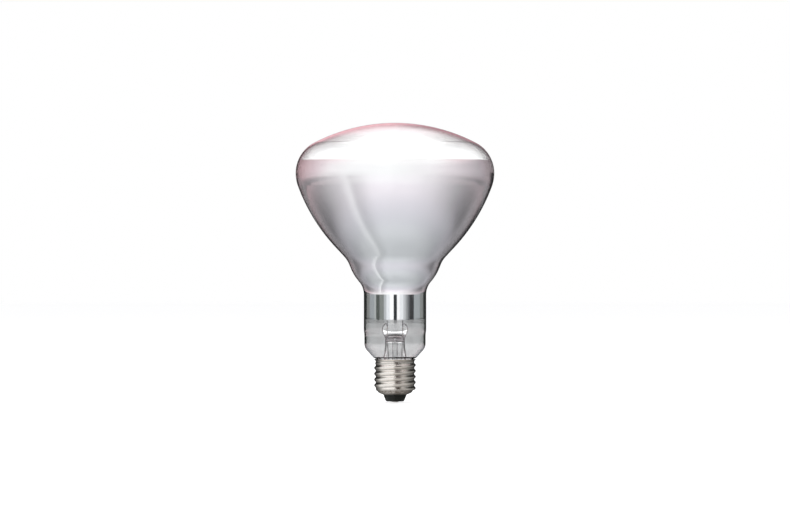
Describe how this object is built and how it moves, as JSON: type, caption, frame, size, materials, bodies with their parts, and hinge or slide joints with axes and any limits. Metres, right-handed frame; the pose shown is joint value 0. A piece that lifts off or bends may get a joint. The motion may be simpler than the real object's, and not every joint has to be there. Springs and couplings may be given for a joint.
{
  "type": "infrared heat lamp bulb",
  "caption": "Large reflector heat lamp: clear domed face, silvered bowl with a narrow neck, glass stem with a ring filament, and a screw cap with a centre contact.",
  "frame": {"origin": "middle of the worn flat on the centre contact's solder, the lowest point of the cap", "axes": "+Z along the lamp's axis from the cap to the face; +X to the right and -Y to the front when the two leads stand side by side"},
  "size_m": [0.125, 0.125, 0.1757],
  "materials": {
    "envelope_glass": "clear, glossy",
    "mirror": "evaporated metal, softly bright",
    "stem_glass": "clear, glossy",
    "tungsten": "drawn wire, dull",
    "cap_metal": "plated, satin",
    "cement": "matt, baked",
    "black_glass": "black glass, glossy",
    "contact_brass": "pressed, satin",
    "solder": "dull tin",
    "lead_wire": "nickel wire, satin",
    "seal_wire": "copper-clad wire",
    "molybdenum": "fine wire, satin"
  },
  "bodies": {
    "root": {"glass_envelope": "envelope_glass", "mirror_coating": "mirror", "stem_glass": "stem_glass", "exhaust_tube": "stem_glass", "arbor": "stem_glass", "filament": "tungsten", "cap_shell": "cap_metal", "cap_cement": "cement", "cap_insulator": "black_glass", "centre_contact": "contact_brass", "contact_solder": "solder", "contact_lead": "lead_wire", "shell_lead": "lead_wire", "rim_solder": "solder", "inner_lead_left": "lead_wire", "inner_lead_right": "lead_wire", "seal_wire_left": "seal_wire", "seal_wire_right": "seal_wire", "support_wire_1": "molybdenum", "support_wire_2": "molybdenum", "support_wire_3": "molybdenum", "support_wire_4": "molybdenum", "support_wire_5": "molybdenum"}
  },
  "joints": []
}
